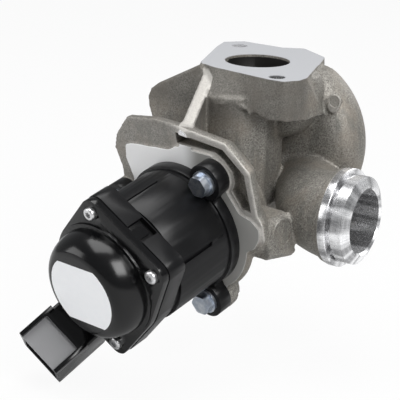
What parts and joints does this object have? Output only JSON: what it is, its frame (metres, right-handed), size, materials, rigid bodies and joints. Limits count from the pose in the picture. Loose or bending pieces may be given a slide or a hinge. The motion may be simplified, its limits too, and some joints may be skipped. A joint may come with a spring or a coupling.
{
  "type": "exhaust gas recirculation valve",
  "caption": "Electric exhaust gas recirculation valve: cast housing with a flanged inlet and turned outlet spigot, and a black motor barrel with a leaning connector.",
  "frame": {"origin": "centre of the inlet bore on the machined face of the inlet flange", "axes": "+Z square out of the inlet flange; +X parallel to the outlet spigot's axis, out of its mouth; the motor points towards -Y, tipped down by 15 degrees and turned 9 degrees towards -X"},
  "size_m": [0.1402, 0.1752, 0.1526],
  "materials": {
    "cast_aluminium": "as cast, tumbled, with bright machined faces",
    "machined_aluminium": "machined",
    "housing_plastic": "moulded, satin",
    "cover_plastic": "moulded, glossy dome and satin flange",
    "zinc_steel": "zinc plated, passivated",
    "screw_steel": "zinc plated",
    "hard_steel": "ground",
    "valve_steel": "turned, heat resistant",
    "lamination_steel": "stamped laminations",
    "spring_steel": "tempered strip",
    "bronze": "sintered",
    "copper_wire": "enamelled wire",
    "tinned_contact": "tinned",
    "magnet_grey": "sintered, coated",
    "black_rubber": "moulded",
    "white_label": "plain printed film, left bare",
    "board_green": "lacquered circuit board",
    "chip_black": "moulded package"
  },
  "bodies": {
    "valve_body": {"valve_housing": "cast_aluminium", "valve_seat": "hard_steel", "stem_bush": "bronze", "stem_seal": "black_rubber", "motor_housing": "housing_plastic", "compression_sleeves": "zinc_steel", "motor_bolts": "zinc_steel", "motor_o_ring": "black_rubber", "fixed_guide": "hard_steel", "bearing_carrier": "machined_aluminium", "bearing_outer_race": "hard_steel", "stator_core": "lamination_steel", "stator_coils": "copper_wire", "return_spring": "spring_steel", "bearing_bridge": "housing_plastic", "journal_bush": "bronze", "cover_label": "white_label", "motor_cover": "cover_plastic", "connector_pins": "tinned_contact", "cover_screws": "screw_steel", "cover_seal": "black_rubber", "circuit_board": "board_green", "position_sensor": "chip_black"},
    "rotor": {"cam_sleeve": "hard_steel", "rotor_hub": "hard_steel", "rotor_magnets": "magnet_grey", "sensor_magnet": "magnet_grey", "bearing_inner_race": "hard_steel"},
    "ball_set": {"bearing_balls": "hard_steel"},
    "valve": {"poppet_valve": "valve_steel", "cross_pin": "hard_steel"}
  },
  "joints": [
    {"name": "rotor_turn", "type": "hinge", "parent": "valve_body", "child": "rotor", "pos_m": [-0.00714, -0.05094, -0.0766], "axis": [-0.1511, -0.954, -0.2588], "range_deg": [0, 90], "stiffness_Nm_per_rad": 0.15, "springref_deg": -22.92},
    {"name": "ball_set_turn", "type": "hinge", "parent": "valve_body", "child": "ball_set", "pos_m": [-0.00714, -0.05094, -0.0766], "axis": [-0.1511, -0.954, -0.2588], "range_deg": [0, 40.5]},
    {"name": "valve_lift", "type": "slide", "parent": "valve_body", "child": "valve", "axis": [0.1511, 0.954, 0.2588], "range_m": [0, 0.008]}
  ],
  "couplings": [
    {"joint": "ball_set_turn", "follows": "rotor_turn", "ratio": 0.44983},
    {"joint": "valve_lift", "follows": "rotor_turn", "m_per_rad": 0.005093}
  ]
}
